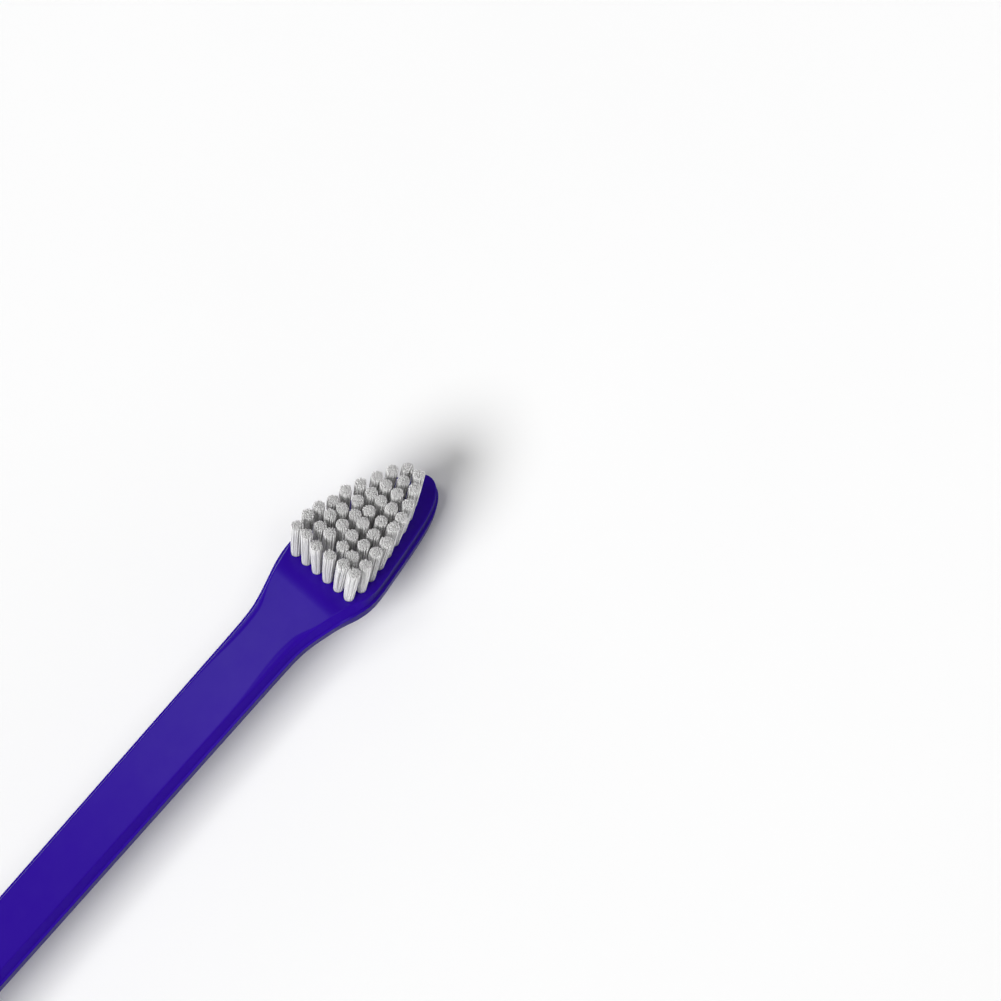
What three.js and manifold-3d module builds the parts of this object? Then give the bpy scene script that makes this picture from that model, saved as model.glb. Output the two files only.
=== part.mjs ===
// Double-ended pet toothbrush: one moulded body with a large and a small head, both leaning back,
// and a bundle of nylon bristles standing in each blind hole of the two bristle fields.
// Millimetres, +Z up. +X points to the large head, and the bristles point up.

import * as THREE from 'three';
import { mergeVertices } from 'three/addons/utils/BufferGeometryUtils.js';
import Module from 'manifold-3d';

const wasm = await Module();
wasm.setup();

// ---- driving dimensions -------------------------------------------------------------------

// Lengths are measured along the body from a bend: a distance is positive from the bend to the
// tip of the head, and negative from the bend back along the handle.
const HANDLE_LENGTH = 152.8; // between the two bends
const HEAD_LENGTH = 33.6; // from a bend to the tip, the same at both ends, so the brush lies level
const HEAD_ANGLE = THREE.MathUtils.degToRad(20); // how far each head leans back from the handle

// Heights are measured from the parting line of the mould.
const FACE_HEIGHT = 2.4; // bristle face, and the handle's top face
const LEDGE_HEIGHT = 0.1; // foot of the sloping side
const LEDGE_EDGE = -0.05; // outer edge of the parting ledge
const WALL_FOOT = -2.45; // lower end of the side wall
const BACK_HEIGHT = -2.9; // back face

// How far each level lies inside the outline.
const LEDGE_INSET = 0.42;
const WALL_DRAFT = 0.1;
const BACK_INSET = 0.45;
const HANDLE_FACE_INSET = 1.3;
const HEAD_FACE_INSET = 0.6;

// Half widths of the handle at its two ends, and where it narrows into the small head's neck.
const HANDLE_HALF_AT_LARGE_HEAD = 6.25;
const HANDLE_HALF_AT_SMALL_HEAD = 5;
const NECK_HALF = 4.1;
const NECK_START = 130;
const NECK_END = 149;

const CORNER_SOFTNESS = 1.5; // rounds both ends of a flare
const TIP_FLAT = 0.6; // width of the last facet of the tip

// The flare runs from the neck to the widest point, and the sides then taper. Both slopes are
// millimetres of half width for each millimetre of length. A higher fullness gives a squarer tip.
// The sloping side steepens over the stretch of the rim.
const LARGE_HEAD = {
  flareStart: -8.8,
  flareEnd: 5.6,
  flareSlope: 0.3,
  taper: 0.21,
  fullness: 8,
  rimStart: 0,
  rimEnd: 9,
};
const SMALL_HEAD = {
  flareStart: 5.5,
  flareEnd: 13.5,
  flareSlope: 0.25,
  taper: 0.06,
  fullness: 4,
  rimStart: 4,
  rimEnd: 15,
};

// Bristle fields: rows run across the head, from the bend towards the tip.
const ROW_PITCH = 2.87;
const LARGE_FIELD = {
  name: 'large',
  firstRow: 3.1,
  rows: [
    { count: 6, halfSpan: 6.65 },
    { count: 6, halfSpan: 7.05 },
    { count: 6, halfSpan: 6.65 },
    { count: 6, halfSpan: 6.1 },
    { count: 5, halfSpan: 5.4 },
    { count: 5, halfSpan: 4.7 },
    { count: 4, halfSpan: 3.8 },
    { count: 3, halfSpan: 2.8 },
    { count: 2, halfSpan: 1.4 },
  ],
};
const SMALL_FIELD = {
  name: 'small',
  firstRow: 15.4,
  rows: [
    { count: 3, halfSpan: 2.65 },
    { count: 3, halfSpan: 2.75 },
    { count: 3, halfSpan: 2.65 },
    { count: 3, halfSpan: 2.5 },
    { count: 2, halfSpan: 1.3 },
  ],
};

const BRISTLE_LENGTH = 9.4; // above the bristle face
const TUFT_FOOT_RADIUS = 0.86;
const TUFT_TIP_RADIUS = 0.95;
const HOLE_RADIUS = 0.95;
const HOLE_DEPTH = 3.4;
const HOLE_FLOOR_GAP = 0.2;
const TUFT_SIDES = 12;

// ---- materials ----------------------------------------------------------------------------

const moulding = new THREE.MeshStandardMaterial({ color: 0x3a1cae, roughness: 0.36, metalness: 0 });
const nylon = new THREE.MeshStandardMaterial({ color: 0xdcdae4, roughness: 0.5, metalness: 0 });

// ---- outline of the body ------------------------------------------------------------------

// Grows smoothly from zero to a straight line, so that each end of a flare is a rounded corner.
function softRamp(distance) {
  return CORNER_SOFTNESS * Math.log(1 + Math.exp(distance / CORNER_SOFTNESS));
}

// Half width of the handle at a station, counted back from the large head's bend.
function handleHalfWidth(back) {
  const share = THREE.MathUtils.clamp(back / HANDLE_LENGTH, 0, 1);
  const plain = THREE.MathUtils.lerp(HANDLE_HALF_AT_LARGE_HEAD, HANDLE_HALF_AT_SMALL_HEAD, share);
  const neck = THREE.MathUtils.smoothstep(back, NECK_START, NECK_END);
  return THREE.MathUtils.lerp(plain, NECK_HALF, neck);
}

// Half width near one head: the flare, the tapering sides and the round tip.
function headHalfWidth(head, distance, handleHalf) {
  const flare = head.flareSlope * softRamp(distance - head.flareStart);
  const turn = (head.flareSlope + head.taper) * softRamp(distance - head.flareEnd);
  const side = handleHalf + flare - turn;
  const along = (distance - head.flareEnd) / (HEAD_LENGTH - head.flareEnd);
  const round = Math.sqrt(1 - THREE.MathUtils.clamp(along, 0, 1) ** head.fullness);
  return Math.max(side * round, TIP_FLAT / 2);
}

// Half width of the whole body at a station: zero at the large head's bend, positive to its tip.
function halfWidth(station) {
  const handleHalf = handleHalfWidth(-station);
  if (station > -HANDLE_LENGTH / 2) {
    return headHalfWidth(LARGE_HEAD, station, handleHalf);
  }
  return headHalfWidth(SMALL_HEAD, -HANDLE_LENGTH - station, handleHalf);
}

// Evenly spread numbers, without the last one.
function spread(start, end, count) {
  return Array.from({ length: count }, (_, i) => start + ((end - start) * i) / count);
}

// Distances from a head's bend where its outline needs a point, closer together at the tip.
function headDistances(head, flareSteps, tipSteps) {
  const flare = spread(head.flareStart - 2 * CORNER_SOFTNESS, head.flareEnd, flareSteps);
  const tip = Array.from({ length: tipSteps + 1 }, (_, i) => {
    const share = Math.sin((i / tipSteps) * (Math.PI / 2));
    return THREE.MathUtils.lerp(head.flareEnd, HEAD_LENGTH, share);
  });
  return [...flare, 0, ...tip];
}

function bodyStations() {
  const large = headDistances(LARGE_HEAD, 13, 14);
  const small = headDistances(SMALL_HEAD, 8, 12).map((distance) => -HANDLE_LENGTH - distance);
  const handle = spread(LARGE_HEAD.flareStart - 2 * CORNER_SOFTNESS, -NECK_START, 8).slice(1);
  const neck = spread(-NECK_START, -NECK_END, 8);
  return [...large, ...handle, ...neck, ...small].sort((a, b) => a - b);
}

// ---- body ---------------------------------------------------------------------------------

// Where a point of the straight, flat body goes once its heads are bent back. The section at a
// bend itself is a mitre, which halves the angle.
function bendOne(distance, height) {
  if (distance < 0) {
    return [distance, height];
  }
  if (distance === 0) {
    return [height * Math.tan(HEAD_ANGLE / 2), height];
  }
  return [
    distance * Math.cos(HEAD_ANGLE) + height * Math.sin(HEAD_ANGLE),
    height * Math.cos(HEAD_ANGLE) - distance * Math.sin(HEAD_ANGLE),
  ];
}

function bend(station, height) {
  if (station > -HANDLE_LENGTH / 2) {
    return bendOne(station, height);
  }
  const [out, up] = bendOne(-HANDLE_LENGTH - station, height);
  return [-HANDLE_LENGTH - out, up];
}

// Inset of the top face, which is wider along the handle than on the heads.
function faceInset(station) {
  const { rimStart, rimEnd } = SMALL_HEAD;
  const large = THREE.MathUtils.smoothstep(station, LARGE_HEAD.rimStart, LARGE_HEAD.rimEnd);
  const small = THREE.MathUtils.smoothstep(-HANDLE_LENGTH - station, rimStart, rimEnd);
  return THREE.MathUtils.lerp(HANDLE_FACE_INSET, HEAD_FACE_INSET, Math.max(large, small));
}

// The levels of the body's section, from the back up, each with its inset from the outline.
function sectionLevels(station) {
  return [
    { height: BACK_HEIGHT, inset: BACK_INSET },
    { height: WALL_FOOT, inset: WALL_DRAFT },
    { height: LEDGE_EDGE, inset: 0 },
    { height: LEDGE_HEIGHT, inset: LEDGE_INSET },
    { height: FACE_HEIGHT, inset: faceInset(station) },
  ];
}

// The outline's outward normal at a station, found from its neighbours.
function outlineNormal(stations, i) {
  if (i === 0 || i === stations.length - 1) {
    return new THREE.Vector2(i === 0 ? -1 : 1, 0);
  }
  const run = stations[i + 1] - stations[i - 1];
  const rise = halfWidth(stations[i + 1]) - halfWidth(stations[i - 1]);
  return new THREE.Vector2(-rise, run).normalize();
}

// A box with one slice for each station and one layer for each level of the section, whose
// corners are then moved onto the body's surface.
function bodyBlank() {
  const stations = bodyStations();
  const layers = sectionLevels(0).length - 1;
  const geometry = new THREE.BoxGeometry(1, 2, 1, stations.length - 1, 1, layers);
  const position = geometry.attributes.position;
  for (let i = 0; i < position.count; i += 1) {
    const slice = Math.round((position.getX(i) + 0.5) * (stations.length - 1));
    const layer = Math.round((position.getZ(i) + 0.5) * layers);
    const side = position.getY(i);
    const station = stations[slice];
    const { height, inset } = sectionLevels(station)[layer];
    const normal = outlineNormal(stations, slice);
    const atBend = station === 0 || station === -HANDLE_LENGTH;
    const shifted = atBend ? station : station - inset * normal.x;
    const half = halfWidth(station) - inset * normal.y;
    const [x, z] = bend(shifted, height);
    position.setXYZ(i, x, side * half, z);
  }
  return geometry;
}

// ---- joining and cutting ------------------------------------------------------------------

function toSolid(geometry) {
  const bare = geometry.clone();
  bare.deleteAttribute('normal');
  bare.deleteAttribute('uv');
  const merged = mergeVertices(bare, 1e-5);
  return new wasm.Manifold(new wasm.Mesh({
    numProp: 3,
    vertProperties: new Float32Array(merged.attributes.position.array),
    triVerts: new Uint32Array(merged.index.array),
  }));
}

function toGeometry(solid) {
  const mesh = solid.getMesh();
  const geometry = new THREE.BufferGeometry();
  geometry.setAttribute('position', new THREE.BufferAttribute(mesh.vertProperties, 3));
  geometry.setIndex(new THREE.BufferAttribute(mesh.triVerts, 1));
  geometry.computeVertexNormals();
  return geometry;
}

// ---- bristle fields -----------------------------------------------------------------------

// Places of the tufts on one head: distance from the bend, offset to the side, row and column.
function tuftPlaces(field) {
  return field.rows.flatMap(({ count, halfSpan }, row) => {
    const distance = field.firstRow + row * ROW_PITCH;
    return Array.from({ length: count }, (_, column) => ({
      distance,
      offset: THREE.MathUtils.lerp(halfSpan, -halfSpan, column / (count - 1)),
      name: `tuft_${field.name}_r${row + 1}_c${column + 1}`,
    }));
  });
}

// An upright round bar between two heights.
function uprightBar(topRadius, footRadius, bottom, top) {
  const geometry = new THREE.CylinderGeometry(topRadius, footRadius, top - bottom, TUFT_SIDES);
  geometry.rotateX(Math.PI / 2);
  geometry.translate(0, 0, (top + bottom) / 2);
  return geometry;
}

function holeCutter() {
  const above = 1;
  return uprightBar(HOLE_RADIUS, HOLE_RADIUS, FACE_HEIGHT - HOLE_DEPTH, FACE_HEIGHT + above);
}

function tuftGeometry() {
  const foot = FACE_HEIGHT - HOLE_DEPTH + HOLE_FLOOR_GAP;
  return uprightBar(TUFT_TIP_RADIUS, TUFT_FOOT_RADIUS, foot, FACE_HEIGHT + BRISTLE_LENGTH);
}

// A group that sits at a bend and leans back with the head; direction is +1 at the large head.
function headGroup(direction) {
  const group = new THREE.Group();
  group.position.x = direction > 0 ? 0 : -HANDLE_LENGTH;
  group.rotation.y = direction * HEAD_ANGLE;
  group.updateMatrix();
  return group;
}

// Cuts the holes of one field out of the body and stands a tuft in each.
function addField(body, group, field, direction) {
  const places = tuftPlaces(field);
  const cutter = toSolid(holeCutter());
  const matrix = group.matrix.toArray();
  const holes = places.map(({ distance, offset }) => (
    cutter.translate([direction * distance, offset, 0]).transform(matrix)
  ));
  for (const { distance, offset, name } of places) {
    const tuft = new THREE.Mesh(tuftGeometry(), nylon);
    tuft.name = name;
    tuft.position.set(direction * distance, offset, 0);
    group.add(tuft);
  }
  return holes.reduce((solid, hole) => solid.subtract(hole), body);
}

// ---- the brush ----------------------------------------------------------------------------

const brush = new THREE.Group();
const largeHead = headGroup(1);
const smallHead = headGroup(-1);
const blank = toSolid(bodyBlank());
const drilledOnce = addField(blank, largeHead, LARGE_FIELD, 1);
const drilled = addField(drilledOnce, smallHead, SMALL_FIELD, -1);
const body = new THREE.Mesh(toGeometry(drilled), moulding);
body.name = 'body';
brush.add(body, largeHead, smallHead);

// The origin is the middle of the brush, on the surface that its two head tips rest on.
const extent = new THREE.Box3().setFromObject(brush);
const middle = extent.getCenter(new THREE.Vector3());
brush.position.set(-middle.x, -middle.y, -extent.min.z);

const root = new THREE.Group();
root.add(brush);
root.updateMatrixWorld(true);

export default root;
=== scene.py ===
"""The looks of a double-ended pet toothbrush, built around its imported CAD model.

Lengths are in millimetres in the brush frame: the origin is on the large head's bend, on the
parting plane of the mould, +X runs along the handle towards the large head, and the bristles are
on the +Z side. Every finished mesh is in metres in the row frame.
"""

import math
import random

import bmesh
import bpy
from mathutils import Matrix, Vector


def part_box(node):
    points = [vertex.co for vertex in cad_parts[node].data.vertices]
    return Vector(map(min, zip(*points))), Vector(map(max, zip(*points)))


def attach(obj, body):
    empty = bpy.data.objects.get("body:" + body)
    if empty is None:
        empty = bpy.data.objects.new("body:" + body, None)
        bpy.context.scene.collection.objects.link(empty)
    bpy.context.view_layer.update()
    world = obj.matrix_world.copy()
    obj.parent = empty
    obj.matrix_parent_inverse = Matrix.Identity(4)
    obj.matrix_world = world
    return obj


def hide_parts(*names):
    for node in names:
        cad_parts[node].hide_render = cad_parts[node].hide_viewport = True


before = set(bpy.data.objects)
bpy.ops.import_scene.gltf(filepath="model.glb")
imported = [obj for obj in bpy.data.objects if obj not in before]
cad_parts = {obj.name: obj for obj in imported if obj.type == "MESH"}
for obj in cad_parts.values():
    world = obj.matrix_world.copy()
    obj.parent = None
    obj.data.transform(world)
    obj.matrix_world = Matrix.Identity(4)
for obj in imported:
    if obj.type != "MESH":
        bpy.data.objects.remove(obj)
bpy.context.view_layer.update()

MM = 0.001
RANDOM_SEED = 20

# ---- dimensions of the body ---------------------------------------------------------------

HANDLE_LENGTH = 152.8  # between the two bends
HEAD_LENGTH = 33.6  # from a bend to the tip
HEAD_ANGLE = math.radians(20)
BEND_REACH = 2.4  # the body turns within this distance to each side of a bend
CREASE_RADIUS = 12.0  # of the rounded crease across the face at each bend
INNER_CREASE_RADIUS = 7.0  # of the hollow crease across the back

# Heights from the parting plane, and how far each level lies inside the outline.
FACE_HEIGHT = 2.4  # bristle face, and the handle's top face
LEDGE_HEIGHT = 0.1  # foot of the sloping side
LEDGE_EDGE = -0.05  # outer edge of the parting ledge
BACK_HEIGHT = -2.9
LEDGE_INSET = 0.42
WALL_DRAFT = 0.12
HANDLE_FACE_INSET = 1.3
HEAD_FACE_INSET = 0.6

# Half widths of the handle at its two ends, and where it narrows into the small head's neck.
HANDLE_HALF_AT_LARGE_HEAD = 6.25
HANDLE_HALF_AT_SMALL_HEAD = 5
NECK_HALF = 4.1
NECK_START = 130
NECK_END = 149
CORNER_SOFTNESS = 1.5  # rounds both ends of a flare

# The flare runs from the neck to the widest point, and the sides then taper. Both slopes are
# millimetres of half width for each millimetre of length. A higher fullness gives a squarer tip.
# The sloping side steepens over the stretch of the rim. The last two values say how fine the mesh
# is: the step between stations in the flare, and how many stations the round tip has.
LARGE_HEAD = {
    "flare_start": -8.8,
    "flare_end": 5.6,
    "flare_slope": 0.3,
    "taper": 0.21,
    "fullness": 8,
    "rim_start": 0,
    "rim_end": 9,
    "flare_step": 0.5,
    "tip_stations": 40,
}
SMALL_HEAD = {
    "flare_start": 5.5,
    "flare_end": 13.5,
    "flare_slope": 0.25,
    "taper": 0.06,
    "fullness": 4,
    "rim_start": 4,
    "rim_end": 15,
    "flare_step": 0.7,
    "tip_stations": 32,
}

# Radii of the rounded edges of the section.
HANDLE_EDGE_RADIUS = 0.3
NECK_EDGE_RADIUS = 1.6
HEAD_EDGE_RADIUS = 0.35
# The top edge softens over the first stretch, towards the large head, and sharpens again over the
# second.
SOFTENING = (-26, -12)
SHARPENING = (-9, -4)
LEDGE_FOOT_RADIUS = 0.12
LEDGE_RIM_RADIUS = 0.1
BACK_RADIUS = 0.55
EDGE_STEPS = (8, 4, 4, 6)  # segments of each rounded edge, from the face down to the back
SUPPORT_GAP = 0.06  # between an edge's round and the flat face's first row of points
FLAT_REACH = 3  # how far inward the section follows each flat face, to fix its outer edge's angle

# Where the stations lie, the places along the body that have a ring of points.
BEND_STEP = 0.12
HEAD_SIDE_STEP = 0.9
HANDLE_STEP = 1.6
NECK_STEP = 1
FLARE_LEAD = 5  # the flare's closer stations start this far before it
FLARE_TRAIL = 6  # and go on this far past it
TIP_SHARE = 0.72  # of the way from the flare's end to the tip, where the tip's stations start
BEND_CLEARANCE = 0.05  # at least this much between the bend's own stations and the next ones
NECK_CLEARANCE = 0.6  # the neck's stretch of stations ends this far before the bend
LEAST_GAP = 1e-4  # between two stations

# Limits for cleaning the mesh: points closer than the first are joined, and edges shorter than the
# others are dissolved, before and after the holes are cut.
WELD_DISTANCE = 1e-4
SLIVER_LENGTH = 1e-5
CUT_SLIVER_LENGTH = 1e-4

# ---- dimensions of the bristle fields -----------------------------------------------------

# Rows run across the head, from the bend towards the tip. Each has its number of tufts and half
# the distance between the outermost two.
ROW_PITCH = 2.87
LARGE_FIELD = {
    "name": "large",
    "direction": 1,
    "first_row": 3.1,
    "rows": [
        (6, 6.65),
        (6, 7.05),
        (6, 6.65),
        (6, 6.1),
        (5, 5.4),
        (5, 4.7),
        (4, 3.8),
        (3, 2.8),
        (2, 1.4),
    ],
}
SMALL_FIELD = {
    "name": "small",
    "direction": -1,
    "first_row": 15.4,
    "rows": [(3, 2.65), (3, 2.75), (3, 2.65), (3, 2.5), (2, 1.3)],
}
FIELDS = (LARGE_FIELD, SMALL_FIELD)

BRISTLE_LENGTH = 9.4  # above the bristle face
BUNDLE_RADIUS = 0.83  # to the middle of the outermost filaments
FILAMENT_RADIUS = 0.105
FILAMENT_PITCH = 0.206
FILAMENT_SIDES = 6
HOLE_RADIUS = 0.95
HOLE_DEPTH = 3.4
HOLE_SIDES = 32
HOLE_CHAMFER = 0.06

ANCHOR_WIDTH = 1.9
ANCHOR_THICKNESS = 0.3
ANCHOR_HEIGHT = 1.1
ANCHOR_FLOOR_GAP = 0.7
ANCHOR_BEVEL = 0.05

# The CAD body gives the brush frame's place in the row frame: the bends lie evenly about its
# middle, and its highest face is the handle's.
body_low, body_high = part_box("body")
bend_x = (body_low.x + body_high.x) / 2 / MM + HANDLE_LENGTH / 2
parting_z = body_high.z / MM - FACE_HEIGHT
TO_ROW = Matrix.Scale(MM, 4) @ Matrix.Translation((bend_x, 0, parting_z))


def lerp(a, b, share):
    return a + (b - a) * share


def clamp(value, low=0.0, high=1.0):
    return max(low, min(high, value))


def smoothstep(value, start, end):
    share = clamp((value - start) / (end - start))
    return share * share * (3 - 2 * share)


# ---- camera -------------------------------------------------------------------------------

# The camera looks down on the large head from above the handle's near side, far enough away for
# only a little perspective.
CAMERA_PLACE = (-12.23, -103.34, 316.05)
CAMERA_TILT = Vector((-0.3142, 0.0195, 0.8655))  # rotation vector, brush frame to camera's
CAMERA_LENS = 64.74
SENSOR_WIDTH = 36
CAMERA_CLIP_START = 0.01


def add_camera():
    """The photo's view of the large head and most of the handle."""
    data = bpy.data.cameras.new("camera")
    data.lens = CAMERA_LENS
    data.sensor_width = SENSOR_WIDTH
    data.clip_start = CAMERA_CLIP_START
    camera = bpy.data.objects.new("camera", data)
    bpy.context.scene.collection.objects.link(camera)
    turn = Matrix.Rotation(CAMERA_TILT.length, 3, CAMERA_TILT.normalized())
    place = TO_ROW @ Vector(CAMERA_PLACE)
    camera.matrix_world = Matrix.Translation(place) @ turn.transposed().to_4x4()
    bpy.context.scene.camera = camera


add_camera()

# ---- materials ----------------------------------------------------------------------------


# Noise lies mostly between these two values, so patterns are spread over that range.
NOISE_LOW = 0.3
NOISE_HIGH = 0.7


class Shader:
    """A node material around one Principled shader."""

    def __init__(self, name):
        self.material = bpy.data.materials.new(name)
        self.material.use_nodes = True
        self.nodes = self.material.node_tree.nodes
        self.links = self.material.node_tree.links
        self.principled = self.nodes["Principled BSDF"]
        self.coordinates = self.nodes.new("ShaderNodeTexCoord").outputs["Object"]

    def set(self, **values):
        """Sets values that are the same all over, by the shader's names with underscores."""
        for name, value in values.items():
            self.principled.inputs[name.replace("_", " ")].default_value = value

    def link(self, output, name):
        """Joins a node's output to one of the shader's inputs."""
        self.links.new(output, self.principled.inputs[name])

    def noise(self, scale, detail=2.0, roughness=0.5, stretch=(1, 1, 1)):
        """Noise in the piece's own coordinates; scale is in waves per metre.

        A stretch below 1 draws the pattern out along that axis.
        """
        mapping = self.nodes.new("ShaderNodeMapping")
        mapping.inputs["Scale"].default_value = stretch
        self.links.new(self.coordinates, mapping.inputs["Vector"])
        node = self.nodes.new("ShaderNodeTexNoise")
        node.inputs["Scale"].default_value = scale
        node.inputs["Detail"].default_value = detail
        node.inputs["Roughness"].default_value = roughness
        self.links.new(mapping.outputs["Vector"], node.inputs["Vector"])
        return node.outputs["Fac"]

    def colours(self, noise, dark, light):
        """Noise turned into colours between two."""
        node = self.nodes.new("ShaderNodeValToRGB")
        first, last = node.color_ramp.elements
        first.position, first.color = NOISE_LOW, (*dark, 1)
        last.position, last.color = NOISE_HIGH, (*light, 1)
        self.links.new(noise, node.inputs["Fac"])
        return node.outputs["Color"]

    def map_range(self, value, from_low, from_high, to_low, to_high):
        """A value carried from one range to another, and held at the ends."""
        node = self.nodes.new("ShaderNodeMapRange")
        node.inputs["From Min"].default_value = from_low
        node.inputs["From Max"].default_value = from_high
        node.inputs["To Min"].default_value = to_low
        node.inputs["To Max"].default_value = to_high
        self.links.new(value, node.inputs["Value"])
        return node.outputs["Result"]

    def spread(self, noise, low, high):
        """Noise spread over a range of values."""
        return self.map_range(noise, NOISE_LOW, NOISE_HIGH, low, high)

    def product(self, one, other):
        """Two values multiplied."""
        node = self.nodes.new("ShaderNodeMath")
        node.operation = "MULTIPLY"
        self.links.new(one, node.inputs[0])
        self.links.new(other, node.inputs[1])
        return node.outputs["Value"]

    def scaled(self, colour, factor):
        """A colour made deeper or lighter by a factor."""
        node = self.nodes.new("ShaderNodeVectorMath")
        node.operation = "SCALE"
        self.links.new(colour, node.inputs[0])
        self.links.new(factor, node.inputs["Scale"])
        return node.outputs["Vector"]

    def facing_up(self, steep, flat, low, high):
        """A value that grows as the surface turns from steep to flat, by its normal's height."""
        parts = self.nodes.new("ShaderNodeSeparateXYZ")
        normal = self.nodes.new("ShaderNodeTexCoord").outputs["Normal"]
        self.links.new(normal, parts.inputs["Vector"])
        return self.map_range(parts.outputs["Z"], steep, flat, low, high)

    def bump(self, height, distance, strength=1.0):
        """Relief from a height, with its depth in metres."""
        node = self.nodes.new("ShaderNodeBump")
        node.inputs["Distance"].default_value = distance
        node.inputs["Strength"].default_value = strength
        self.links.new(height, node.inputs["Height"])
        self.link(node.outputs["Normal"], "Normal")


def moulding_material():
    """Violet-blue moulded plastic: satin faces, duller flanks darkened by painted shade, finely
    textured skin.
    """
    shader = Shader("violet_moulding")
    flow = shader.noise(scale=55, detail=4, stretch=(0.35, 1, 1))
    pigment = shader.colours(flow, dark=(0.0215, 0.0010, 0.285), light=(0.0265, 0.0016, 0.310))
    # Painted shade: the base colour falls to half on steep sides, so the flanks look darker, as if
    # less lit.
    depth = shader.facing_up(steep=0.0, flat=0.3, low=0.5, high=1.0)
    shader.link(shader.scaled(pigment, depth), "Base Color")
    handling = shader.noise(scale=260, detail=5, roughness=0.6)
    shader.link(shader.spread(handling, low=0.28, high=0.36), "Roughness")
    shader.set(IOR=1.46, Specular_IOR_Level=0.03, Coat_Roughness=0.3)
    gloss = shader.facing_up(steep=0.5, flat=0.9, low=0.0, high=0.25)
    wear = shader.spread(handling, low=0.8, high=1.1)
    shader.link(shader.product(gloss, wear), "Coat Weight")
    skin = shader.noise(scale=1500, detail=2)
    shader.bump(skin, distance=0.000006, strength=0.4)
    return shader.material


def bristle_material():
    """Pale translucent nylon, each filament a little lighter or darker along its length."""
    shader = Shader("pale_nylon")
    streaks = shader.noise(scale=3200, detail=2, stretch=(1, 1, 0.05))
    tones = shader.colours(streaks, dark=(0.74, 0.73, 0.735), light=(0.79, 0.78, 0.775))
    shader.link(tones, "Base Color")
    cloudiness = shader.noise(scale=900)
    shader.link(shader.spread(cloudiness, low=0.3, high=0.42), "Roughness")
    shader.set(IOR=1.53, Specular_IOR_Level=0.4)
    shader.set(Subsurface_Weight=0.7, Subsurface_Scale=0.0008)
    shader.set(Subsurface_Radius=(1.0, 0.95, 1.0))
    return shader.material


def anchor_material():
    """Drawn brass wire, sheared to plates and slightly tarnished."""
    shader = Shader("brass_anchor")
    drawing = shader.noise(scale=2500, detail=3, stretch=(0.06, 1, 1))
    tarnish = shader.colours(drawing, dark=(0.50, 0.37, 0.17), light=(0.74, 0.60, 0.33))
    shader.link(tarnish, "Base Color")
    shader.link(shader.spread(drawing, low=0.25, high=0.45), "Roughness")
    shader.set(Metallic=1.0)
    shader.bump(drawing, distance=0.00001)
    return shader.material


def floor_material():
    """Matt white card, very slightly uneven."""
    shader = Shader("pale_floor")
    clouds = shader.noise(scale=6, detail=3)
    tones = shader.colours(clouds, dark=(0.94, 0.94, 0.94), light=(0.96, 0.96, 0.96))
    shader.link(tones, "Base Color")
    shader.set(Roughness=0.9, Specular_IOR_Level=0.1)
    return shader.material


# ---- outline and section of the body ------------------------------------------------------


def soft_ramp(distance):
    """Grows smoothly from zero to a straight line, so that each end of a flare is rounded."""
    return CORNER_SOFTNESS * math.log(1 + math.exp(distance / CORNER_SOFTNESS))


def handle_half_width(back):
    """Half width of the handle, by distance back from the large head's bend."""
    share = clamp(back / HANDLE_LENGTH)
    plain = lerp(HANDLE_HALF_AT_LARGE_HEAD, HANDLE_HALF_AT_SMALL_HEAD, share)
    return lerp(plain, NECK_HALF, smoothstep(back, NECK_START, NECK_END))


def head_half_width(head, distance, handle_half):
    """Half width near one head: the flare, the tapering sides and the round tip."""
    start, end = head["flare_start"], head["flare_end"]
    flare = head["flare_slope"] * soft_ramp(distance - start)
    turn = (head["flare_slope"] + head["taper"]) * soft_ramp(distance - end)
    side = handle_half + flare - turn
    along = clamp((distance - end) / (HEAD_LENGTH - end))
    return side * math.sqrt(1 - along ** head["fullness"])


def half_width(station):
    """Half width of the body at a station: zero at the large head's bend, positive to its tip."""
    handle_half = handle_half_width(-station)
    if station > -HANDLE_LENGTH / 2:
        return head_half_width(LARGE_HEAD, station, handle_half)
    return head_half_width(SMALL_HEAD, -HANDLE_LENGTH - station, handle_half)


def even_steps(start, end, step):
    """Evenly spread numbers about step apart, without the last one."""
    count = max(1, round(abs(end - start) / step))
    return [lerp(start, end, i / count) for i in range(count)]


def head_distances(head):
    """Distances from a bend, close together where the body turns or its outline curves."""
    bend = even_steps(-BEND_REACH, BEND_REACH, BEND_STEP)
    flare_begin = head["flare_start"] - FLARE_LEAD
    side_begin = head["flare_end"] + FLARE_TRAIL
    tip_begin = lerp(head["flare_end"], HEAD_LENGTH, TIP_SHARE)
    flare = even_steps(flare_begin, side_begin, head["flare_step"])
    side = even_steps(side_begin, tip_begin, HEAD_SIDE_STEP)
    # Equal angles round the tip's curve bring its stations together towards the very end.
    power = head["fullness"] / 2
    first_angle = math.asin(TIP_SHARE**power)
    tip = []
    for i in range(head["tip_stations"] + 1):
        angle = lerp(first_angle, math.pi / 2, i / head["tip_stations"])
        tip.append(lerp(head["flare_end"], HEAD_LENGTH, math.sin(angle) ** (1 / power)))
    straight = [d for d in flare + side if abs(d) > BEND_REACH + BEND_CLEARANCE]
    return straight + bend + [BEND_REACH] + tip


def body_stations():
    """All stations from the small head's tip to the large head's."""
    large = head_distances(LARGE_HEAD)
    small = [-HANDLE_LENGTH - d for d in head_distances(SMALL_HEAD)]
    handle_begin = LARGE_HEAD["flare_start"] - (FLARE_LEAD + LARGE_HEAD["flare_step"])
    handle = even_steps(handle_begin, -NECK_START, HANDLE_STEP)
    neck = even_steps(-NECK_START, -HANDLE_LENGTH + BEND_REACH + NECK_CLEARANCE, NECK_STEP)
    stations = sorted(large + handle + neck + small)
    followers = stations[1:] + [math.inf]
    return [s for s, following in zip(stations, followers) if following - s > LEAST_GAP]


VERY_TIP = 1e-6  # nearer to a tip than this, the outline faces straight along the body
SLOPE_STEP = 0.01  # to each side, for the slope of the outline


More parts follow.
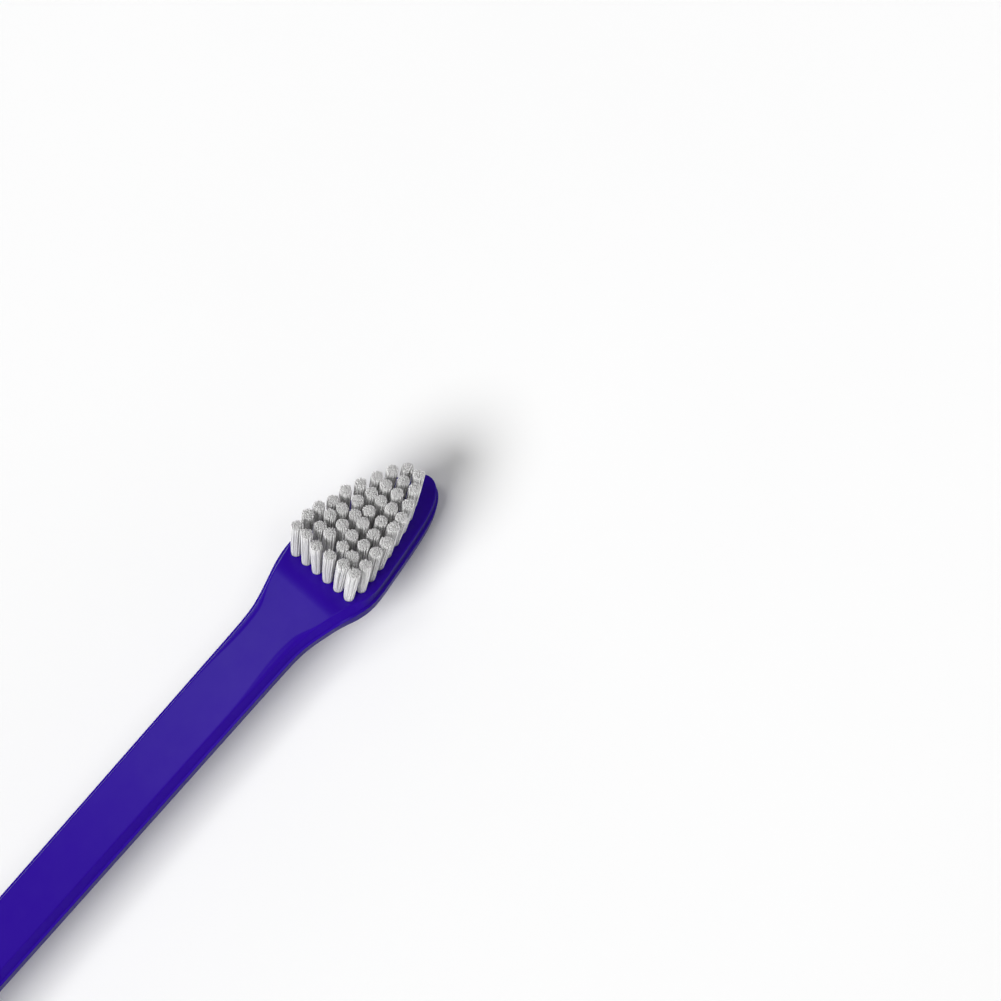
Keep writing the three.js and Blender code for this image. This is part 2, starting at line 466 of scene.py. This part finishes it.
def outline_normal(station):
    """The outline's outward normal, as its parts along and across the body."""
    room = min(HEAD_LENGTH - station, station + HANDLE_LENGTH + HEAD_LENGTH)
    if room < VERY_TIP:
        return (1 if station > 0 else -1), 0
    step = min(SLOPE_STEP, room / 2)
    rise = half_width(station + step) - half_width(station - step)
    length = math.hypot(rise, 2 * step)
    return -rise / length, 2 * step / length


def bend_one(distance, height):
    """The bend at one head, by distance from it. The crease across the head is rounded."""
    corner = height * math.tan(HEAD_ANGLE / 2)
    if distance <= -BEND_REACH:
        along = distance - corner
    elif distance >= BEND_REACH:
        along = distance + corner
    else:
        along = distance * (1 + corner / BEND_REACH)
    depth = (FACE_HEIGHT - height) / (FACE_HEIGHT - BACK_HEIGHT)
    radius = lerp(CREASE_RADIUS, INNER_CREASE_RADIUS, depth)
    tangent = radius * math.tan(HEAD_ANGLE / 2)
    if along <= -tangent:
        return corner + along, height
    if along >= tangent:
        return corner + along * math.cos(HEAD_ANGLE), height - along * math.sin(HEAD_ANGLE)
    turned = HEAD_ANGLE * (along + tangent) / (2 * tangent)
    out = corner - tangent + radius * math.sin(turned)
    return out, height - radius * (1 - math.cos(turned))


def bend(station, height):
    """Where a point of the straight body, at a station and a height, goes once it is bent."""
    if station > -HANDLE_LENGTH / 2:
        return bend_one(station, height)
    out, up = bend_one(-HANDLE_LENGTH - station, height)
    return -HANDLE_LENGTH - out, up


def face_inset(station):
    """How far the flat face's edge lies inside the outline."""
    large = smoothstep(station, LARGE_HEAD["rim_start"], LARGE_HEAD["rim_end"])
    small = smoothstep(-HANDLE_LENGTH - station, SMALL_HEAD["rim_start"], SMALL_HEAD["rim_end"])
    return lerp(HANDLE_FACE_INSET, HEAD_FACE_INSET, max(large, small))


def top_edge_radius(station):
    """The top edge is crisp along the handle, soft in the neck and fairly crisp on the head."""
    soften = smoothstep(station, *SOFTENING)
    sharpen = smoothstep(station, *SHARPENING)
    radius = lerp(HANDLE_EDGE_RADIUS, NECK_EDGE_RADIUS, soften)
    return lerp(radius, HEAD_EDGE_RADIUS, sharpen)


def rounded_corner(before, corner, after, radius, steps):
    """The points of a corner rounded to a radius, from one side to the other."""
    before, corner, after = Vector(before), Vector(corner), Vector(after)
    back, ahead = (before - corner).normalized(), (after - corner).normalized()
    half_turn = (math.pi - back.angle(ahead)) / 2
    tangent = radius * math.tan(half_turn)
    centre = corner + (back + ahead).normalized() * (radius / math.cos(half_turn))
    start, end = corner + back * tangent - centre, corner + ahead * tangent - centre
    turn = 2 * half_turn
    points = []
    for i in range(steps + 1):
        share = i / steps
        start_part = math.sin((1 - share) * turn) / math.sin(turn)
        end_part = math.sin(share * turn) / math.sin(turn)
        points.append(centre + start * start_part + end * end_part)
    return points


def section(station):
    """The section's edge from the face down to the back, as (inset from the outline, height)."""
    inset = face_inset(station)
    corners = [
        (inset + FLAT_REACH, FACE_HEIGHT),
        (inset, FACE_HEIGHT),
        (LEDGE_INSET, LEDGE_HEIGHT),
        (0, LEDGE_EDGE),
        (WALL_DRAFT, BACK_HEIGHT),
        (WALL_DRAFT + FLAT_REACH, BACK_HEIGHT),
    ]
    radii = (top_edge_radius(station), LEDGE_FOOT_RADIUS, LEDGE_RIM_RADIUS, BACK_RADIUS)
    points = []
    for i, (radius, count) in enumerate(zip(radii, EDGE_STEPS)):
        points += rounded_corner(*corners[i : i + 3], radius, count)
    first = Vector((points[0].x + SUPPORT_GAP, FACE_HEIGHT))
    last = Vector((points[-1].x + SUPPORT_GAP, BACK_HEIGHT))
    return [first, *points, last]


# Where the rows of points on the two flat faces lie, as shares of the flat's half width.
FACE_SHARES = (0.75, 0.5, 0.25, 0)


def section_ring(station):
    """The points of a whole section, once round from the face's middle."""
    normal_x, normal_y = outline_normal(station)
    outer = half_width(station)
    side = []
    for inset, height in section(station):
        side.append((station - inset * normal_x, outer - inset * normal_y, height))
    face = [(side[0][0], side[0][1] * share, FACE_HEIGHT) for share in FACE_SHARES]
    back = [(side[-1][0], side[-1][1] * share, BACK_HEIGHT) for share in FACE_SHARES]
    half = face[::-1] + side + back
    mirrored = [(s, -y, h) for s, y, h in half[-2:0:-1]]
    ring = []
    for shifted, y, height in half + mirrored:
        x, z = bend(shifted, height)
        ring.append(Vector((x, y, z)))
    return ring


def body_blank():
    """The whole moulding before its holes: one ring of points for each station."""
    mesh = bmesh.new()
    rings = [[mesh.verts.new(p) for p in section_ring(s)] for s in body_stations()]
    count = len(rings[0])
    for ring, following in zip(rings, rings[1:]):
        for i in range(count):
            j = (i + 1) % count
            mesh.faces.new((ring[i], ring[j], following[j], following[i]))
    bmesh.ops.remove_doubles(mesh, verts=mesh.verts, dist=WELD_DISTANCE)
    bmesh.ops.dissolve_degenerate(mesh, edges=mesh.edges, dist=SLIVER_LENGTH)
    bmesh.ops.recalc_face_normals(mesh, faces=mesh.faces)
    return mesh


# ---- placing things on the heads ----------------------------------------------------------


def head_matrix(direction):
    """From a head's own frame, at its bend and leaning back with it, to the brush frame."""
    place = Matrix.Translation((0 if direction > 0 else -HANDLE_LENGTH, 0, 0))
    return place @ Matrix.Rotation(direction * HEAD_ANGLE, 4, "Y")


def tuft_places(field):
    """(row, column, distance from the bend, offset to the side) of each tuft, counted from 1."""
    for row, (count, half_span) in enumerate(field["rows"]):
        for column in range(count):
            offset = lerp(half_span, -half_span, column / (count - 1))
            yield row + 1, column + 1, field["first_row"] + row * ROW_PITCH, offset


def tuft_matrix(field, distance, offset):
    """From one tuft's own frame, with +Z along its bristles, to the brush frame."""
    direction = field["direction"]
    return head_matrix(direction) @ Matrix.Translation((direction * distance, offset, 0))


def add_lathe(mesh, profile, sides, matrix):
    """A closed turned solid from (radius, height) points, lowest first."""
    rings = []
    for radius, height in profile:
        ring = []
        for i in range(sides):
            angle = 2 * math.pi * i / sides
            point = Vector((radius * math.cos(angle), radius * math.sin(angle), height))
            ring.append(mesh.verts.new(matrix @ point))
        rings.append(ring)
    for ring, following in zip(rings, rings[1:]):
        for i in range(sides):
            j = (i + 1) % sides
            mesh.faces.new((ring[i], ring[j], following[j], following[i]))
    mesh.faces.new(rings[0][::-1])
    mesh.faces.new(rings[-1])


def to_object(name, mesh, material, smooth=True):
    """Turns a bmesh in the brush frame into an object in the row frame."""
    mesh.transform(TO_ROW)
    for face in mesh.faces:
        face.smooth = smooth
    data = bpy.data.meshes.new(name)
    mesh.to_mesh(data)
    mesh.free()
    data.materials.append(material)
    piece = bpy.data.objects.new(name, data)
    bpy.context.scene.collection.objects.link(piece)
    return piece


def apply_modifiers(piece):
    """Keeps what the piece's modifiers make as its mesh."""
    bpy.context.view_layer.update()
    evaluated = piece.evaluated_get(bpy.context.evaluated_depsgraph_get())
    finished = bpy.data.meshes.new_from_object(evaluated)
    piece.modifiers.clear()
    piece.data = finished


# ---- body ---------------------------------------------------------------------------------

EJECTOR_RADIUS = 1.6
EJECTOR_DEPTH = 0.07
EJECTOR_STATIONS = (-20, -58, -96, -134)
GATE_STATION = -76.4
GATE_DIMPLE_RADIUS = 1.7
GATE_DIMPLE_DEPTH = 0.3
GATE_STUB_RADIUS = 0.6
GATE_STUB_LENGTH = 0.2
STUB_CHAMFER = 0.06
STUB_FOOT_SHARE = 0.8  # the stub's radius at its broken end, as a share
STUB_ROOT = 0.1  # how far the stub reaches into the body
MARK_SIDES = 48
STUB_SIDES = 24
CUT_OVERSHOOT = 1  # how far a cutter stands out of the surface it cuts
SHARP_ANGLE = math.radians(32)
NORMAL_WEIGHT = 100  # 50 lets all faces bend a shared normal alike, 100 only the largest


def body_cutters():
    """The holes, with chamfered mouths, and the shallow marks the mould leaves on the back."""
    mesh = bmesh.new()
    hole = [
        (HOLE_RADIUS, FACE_HEIGHT - HOLE_DEPTH),
        (HOLE_RADIUS, FACE_HEIGHT - HOLE_CHAMFER),
        (HOLE_RADIUS + HOLE_CHAMFER, FACE_HEIGHT),
        (HOLE_RADIUS + HOLE_CHAMFER, FACE_HEIGHT + CUT_OVERSHOOT),
    ]
    for field in FIELDS:
        for _, _, distance, offset in tuft_places(field):
            add_lathe(mesh, hole, HOLE_SIDES, tuft_matrix(field, distance, offset))
    mark = [
        (EJECTOR_RADIUS, BACK_HEIGHT - CUT_OVERSHOOT),
        (EJECTOR_RADIUS, BACK_HEIGHT + EJECTOR_DEPTH),
    ]
    for station in EJECTOR_STATIONS:
        add_lathe(mesh, mark, MARK_SIDES, Matrix.Translation((station, 0, 0)))
    dimple = [
        (GATE_DIMPLE_RADIUS, BACK_HEIGHT - CUT_OVERSHOOT),
        (GATE_DIMPLE_RADIUS, BACK_HEIGHT),
        (GATE_DIMPLE_RADIUS - GATE_DIMPLE_DEPTH, BACK_HEIGHT + GATE_DIMPLE_DEPTH),
    ]
    add_lathe(mesh, dimple, MARK_SIDES, Matrix.Translation((GATE_STATION, 0, 0)))
    bmesh.ops.recalc_face_normals(mesh, faces=mesh.faces)
    return mesh


def add_gate_stub(mesh):
    """The short broken stub of the sprue, standing in the gate's dimple."""
    dimple_floor = BACK_HEIGHT + GATE_DIMPLE_DEPTH
    foot = dimple_floor - GATE_STUB_LENGTH
    stub = [
        (GATE_STUB_RADIUS * STUB_FOOT_SHARE, foot),
        (GATE_STUB_RADIUS, foot + STUB_CHAMFER),
        (GATE_STUB_RADIUS, dimple_floor + STUB_ROOT),
    ]
    add_lathe(mesh, stub, STUB_SIDES, TO_ROW @ Matrix.Translation((GATE_STATION, 0, 0)))


def make_body(material):
    """The moulding, with its holes cut and its hard edges marked."""
    body = to_object("moulded_body", body_blank(), material)
    cutter = to_object("cutter", body_cutters(), material)
    cut = body.modifiers.new("holes", "BOOLEAN")
    cut.operation = "DIFFERENCE"
    cut.solver = "EXACT"
    cut.object = cutter
    apply_modifiers(body)
    bpy.data.objects.remove(cutter)
    mesh = bmesh.new()
    mesh.from_mesh(body.data)
    bmesh.ops.dissolve_degenerate(mesh, edges=mesh.edges, dist=CUT_SLIVER_LENGTH * MM)
    for edge in mesh.edges:
        edge.smooth = len(edge.link_faces) == 2 and edge.calc_face_angle(0) < SHARP_ANGLE
    for face in mesh.faces:
        face.smooth = True
    add_gate_stub(mesh)
    mesh.to_mesh(body.data)
    mesh.free()
    even = body.modifiers.new("flat_face_normals", "WEIGHTED_NORMAL")
    even.keep_sharp = True
    even.weight = NORMAL_WEIGHT
    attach(body, "root")
    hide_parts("body")


# ---- tufts --------------------------------------------------------------------------------

TIP_DOME = 0.09  # height of a filament's rounded end
SHOULDER_HEIGHT = 0.7  # of a rounded end's shoulder, as a share of the dome's height
SHOULDER_SIZE = 0.6  # and its radius, as a share of the filament's
LENGTH_JITTER = 0.06  # of single filaments
TUFT_LENGTH_JITTER = 0.16  # of whole tufts
TIP_CROWN = 0.3  # how much shorter the outermost filaments of a tuft are
TIP_SPREAD = 1.32  # how much wider a tuft is at its tips than at its foot
SPREAD_POWER = 0.6  # below 1, most of the spreading is near the foot
SWAY = 0.035  # typical drift of a single filament's tip
MIDDLE_BOW = 1.4  # how much further than in a straight line it drifts half way up
LEG_SHARES = (0.09, 0.22, 0.5, 0.77, 1.0)  # heights of a leg's points, from the anchor to the tip
EDGE_LEAN = 0.04  # outward lean of the outermost tufts, in millimetres for each of length
TIPWARD_LEAN = 0.06  # of every tuft
LEAN_JITTER = 0.02
ANCHOR_FOOT = FACE_HEIGHT - HOLE_DEPTH + ANCHOR_FLOOR_GAP
ANCHOR_TOP = ANCHOR_FOOT + ANCHOR_HEIGHT
ANCHOR_CLEARANCE = 1.1  # from the anchor to a filament's middle, in filament radii
INNER_FOLD_DEPTH = 0.12  # of the innermost filaments below the anchor
OUTER_FOLD_DEPTH = 0.56  # and of the outermost


def packed_pairs():
    """Where the filaments of half a bundle stand: across the anchor, and along it."""
    rows = math.ceil(BUNDLE_RADIUS / FILAMENT_PITCH)
    places = []
    for i in range(rows + 1):
        across = (i + 0.5) * FILAMENT_PITCH * math.sqrt(3) / 2
        for j in range(-rows - 1, rows + 2):
            along = (j + 0.5 * (i % 2)) * FILAMENT_PITCH
            if math.hypot(across, along) <= BUNDLE_RADIUS:
                places.append((across, along))
    return places


def filament_leg(across, along, side, lean, length, rng):
    """One leg of a folded filament, from beside the anchor up to its tip."""
    beside = ANCHOR_THICKNESS / 2 + FILAMENT_RADIUS * ANCHOR_CLEARANCE
    pressed = lerp(beside, BUNDLE_RADIUS, across / BUNDLE_RADIUS)
    crown = TIP_CROWN * (across**2 + along**2) / BUNDLE_RADIUS**2
    tip_height = FACE_HEIGHT + length - crown + rng.gauss(0, LENGTH_JITTER)
    sway_x, sway_y = rng.gauss(0, SWAY), rng.gauss(0, SWAY)
    points = [
        Vector((along, side * pressed, ANCHOR_FOOT)),
        Vector((along, side * pressed, ANCHOR_TOP)),
    ]
    for share in LEG_SHARES:
        height = lerp(ANCHOR_TOP, tip_height, share)
        rise = max(0.0, (height - FACE_HEIGHT) / length)
        widen = lerp(1, TIP_SPREAD, rise**SPREAD_POWER)
        bow = math.sin(math.pi * rise) * MIDDLE_BOW
        x = along * widen + lean[0] * rise + sway_x * (rise + bow)
        y = side * across * widen + lean[1] * rise + sway_y * (rise + bow)
        points.append(Vector((x, y, height)))
    return points


def filament_path(across, along, lean, length, rng):
    """A filament folded under the anchor: down one leg, round the fold and up the other."""
    right = filament_leg(across, along, 1, lean, length, rng)
    left = filament_leg(across, along, -1, lean, length, rng)
    half_gap = right[0].y
    depth = lerp(INNER_FOLD_DEPTH, OUTER_FOLD_DEPTH, across / BUNDLE_RADIUS)
    fold = []
    for quarter in (1, 2, 3):
        angle = math.pi * quarter / 4
        y = half_gap * math.cos(angle)
        fold.append(Vector((along, y, ANCHOR_FOOT - depth * math.sin(angle))))
    return right[::-1] + fold + left


def add_filament(mesh, path, matrix):
    """A thin round bar with domed ends along a path that lies nearly in one upright plane."""
    first, last = path[0], path[-1]
    first_out = (first - path[1]).normalized()
    last_out = (last - path[-2]).normalized()
    stations = [(first + first_out * TIP_DOME * SHOULDER_HEIGHT, SHOULDER_SIZE)]
    stations += [(point, 1.0) for point in path]
    stations += [(last + last_out * TIP_DOME * SHOULDER_HEIGHT, SHOULDER_SIZE)]
    rings = []
    for i, (point, size) in enumerate(stations):
        before = stations[max(i - 1, 0)][0]
        after = stations[min(i + 1, len(stations) - 1)][0]
        ahead = (after - before).normalized()
        side = ahead.cross(Vector((1, 0, 0))).normalized()
        out = side.cross(ahead).normalized()
        ring = []
        for k in range(FILAMENT_SIDES):
            angle = 2 * math.pi * k / FILAMENT_SIDES
            offset = (out * math.cos(angle) + side * math.sin(angle)) * FILAMENT_RADIUS * size
            ring.append(mesh.verts.new(matrix @ (point + offset)))
        rings.append(ring)
    for ring, following in zip(rings, rings[1:]):
        for k in range(FILAMENT_SIDES):
            j = (k + 1) % FILAMENT_SIDES
            mesh.faces.new((ring[k], ring[j], following[j], following[k]))
    ends = ((rings[0][::-1], first, first_out), (rings[-1], last, last_out))
    for ring, centre, out in ends:
        apex = mesh.verts.new(matrix @ (centre + out * TIP_DOME))
        for k in range(FILAMENT_SIDES):
            mesh.faces.new((ring[k], ring[(k + 1) % FILAMENT_SIDES], apex))


def make_tuft(field, row, column, distance, offset, material, rng):
    """A bundle of folded nylon filaments, which stands for the CAD tuft."""
    widest = max(half_span for _, half_span in field["rows"])
    outward = EDGE_LEAN * BRISTLE_LENGTH * offset / widest
    rows = len(field["rows"])
    from_middle = lerp(-1, 1, (row - 1) / (rows - 1))
    lengthwise = (TIPWARD_LEAN + EDGE_LEAN * from_middle) * BRISTLE_LENGTH
    lean = (
        field["direction"] * lengthwise + rng.gauss(0, LEAN_JITTER) * BRISTLE_LENGTH,
        outward + rng.gauss(0, LEAN_JITTER) * BRISTLE_LENGTH,
    )
    length = BRISTLE_LENGTH - TIP_DOME + rng.gauss(0, TUFT_LENGTH_JITTER)
    matrix = tuft_matrix(field, distance, offset)
    mesh = bmesh.new()
    for across, along in packed_pairs():
        add_filament(mesh, filament_path(across, along, lean, length, rng), matrix)
    place = f"{field['name']}_r{row}_c{column}"
    tuft = to_object(f"bristles_{place}", mesh, material)
    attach(tuft, "root")
    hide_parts(f"tuft_{place}")


def make_anchors(field, material):
    """The flat plates of one field, one across each hole, with its bristles folded under it."""
    mesh = bmesh.new()
    size = Matrix.Diagonal((ANCHOR_WIDTH, ANCHOR_THICKNESS, ANCHOR_HEIGHT, 1))
    middle = Matrix.Translation((0, 0, (ANCHOR_FOOT + ANCHOR_TOP) / 2))
    for _, _, distance, offset in tuft_places(field):
        place = tuft_matrix(field, distance, offset) @ middle
        bmesh.ops.create_cube(mesh, size=1, matrix=place @ size)
    bmesh.ops.bevel(mesh, geom=mesh.edges[:], offset=ANCHOR_BEVEL, segments=2, affect="EDGES")
    anchors = to_object(f"anchors_{field['name']}", mesh, material, smooth=False)
    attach(anchors, "root")


# ---- the brush ----------------------------------------------------------------------------

make_body(moulding_material())
nylon = bristle_material()
brass = anchor_material()
for field in FIELDS:
    field_random = random.Random(f"{RANDOM_SEED} {field['name']}")
    for row, column, distance, offset in tuft_places(field):
        make_tuft(field, row, column, distance, offset, nylon, field_random)
    make_anchors(field, brass)

# ---- floor, lights and surroundings -------------------------------------------------------

FLOOR_HALF = 3.0
FLOOR_SEGMENTS = 8

# Directions point from the brush to the light. The softboxes' distances and sizes are in metres.
KEY_DIRECTION = (-0.72, 0.0, 0.69)
KEY_SPREAD = math.radians(32)
KEY_STRENGTH = 2.85
OVERHEAD_BOX = {
    "name": "overhead",
    "direction": (-0.03, 0.31, 0.95),
    "distance": 0.5,
    "size": 0.12,
    "power": 0.24,
}
NEAR_BOX = {
    "name": "near",
    "direction": (0.14, -0.41, 0.9),
    "distance": 0.8,
    "size": 0.2,
    "power": 0.6,
}
SOFTBOX_TARGET = (-5, 0, 0)

# The surroundings are bright up to the walls' top and dim from the ceiling's start. Both are
# heights of a direction, as the sine of its elevation.
WALL_TOP = 0.12
CEILING_START = 0.5
WALL_BRIGHTNESS = 0.95
CEILING_BRIGHTNESS = 0.16


def add_floor():
    """A plain pale floor under the brush, on which its two tips rest."""
    mesh = bmesh.new()
    bmesh.ops.create_grid(
        mesh, x_segments=FLOOR_SEGMENTS, y_segments=FLOOR_SEGMENTS, size=FLOOR_HALF
    )
    data = bpy.data.meshes.new("floor")
    mesh.to_mesh(data)
    mesh.free()
    data.materials.append(floor_material())
    floor = bpy.data.objects.new("floor", data)
    bpy.context.scene.collection.objects.link(floor)


def facing_from(direction):
    """The turn of a light that shines back along a direction."""
    return Vector(direction).to_track_quat("Z", "Y").to_matrix().to_4x4()


def add_softbox(box):
    """A square area light, a distance away from the target in its direction, and facing it."""
    data = bpy.data.lights.new(box["name"], "AREA")
    data.shape = "SQUARE"
    data.size = box["size"]
    data.energy = box["power"]
    light = bpy.data.objects.new(box["name"], data)
    bpy.context.scene.collection.objects.link(light)
    away = Vector(box["direction"]).normalized()
    place = TO_ROW @ Vector(SOFTBOX_TARGET) + away * box["distance"]
    light.matrix_world = Matrix.Translation(place) @ facing_from(away)


def add_key():
    """Broad soft light from one direction, as even over the floor as from a large far window."""
    data = bpy.data.lights.new("key", "SUN")
    data.angle = KEY_SPREAD
    data.energy = KEY_STRENGTH
    light = bpy.data.objects.new("key", data)
    bpy.context.scene.collection.objects.link(light)
    light.matrix_world = facing_from(KEY_DIRECTION)


def add_world():
    """Pale low walls all round, under a dim ceiling."""
    world = bpy.data.worlds.new("studio")
    world.use_nodes = True
    nodes, links = world.node_tree.nodes, world.node_tree.links
    direction = nodes.new("ShaderNodeTexCoord").outputs["Generated"]
    parts = nodes.new("ShaderNodeSeparateXYZ")
    links.new(direction, parts.inputs["Vector"])
    ramp = nodes.new("ShaderNodeValToRGB")
    low, high = ramp.color_ramp.elements
    low.position, low.color = WALL_TOP, (WALL_BRIGHTNESS,) * 3 + (1,)
    high.position, high.color = CEILING_START, (CEILING_BRIGHTNESS,) * 3 + (1,)
    links.new(parts.outputs["Z"], ramp.inputs["Fac"])
    links.new(ramp.outputs["Color"], nodes["Background"].inputs["Color"])
    bpy.context.scene.world = world


add_floor()
add_key()
add_softbox(OVERHEAD_BOX)
add_softbox(NEAR_BOX)
add_world()
bpy.context.scene.view_settings.view_transform = "Standard"


def plain(corners):
    """A box's two corners as lists of numbers."""
    return [[float(value) for value in corner] for corner in corners]
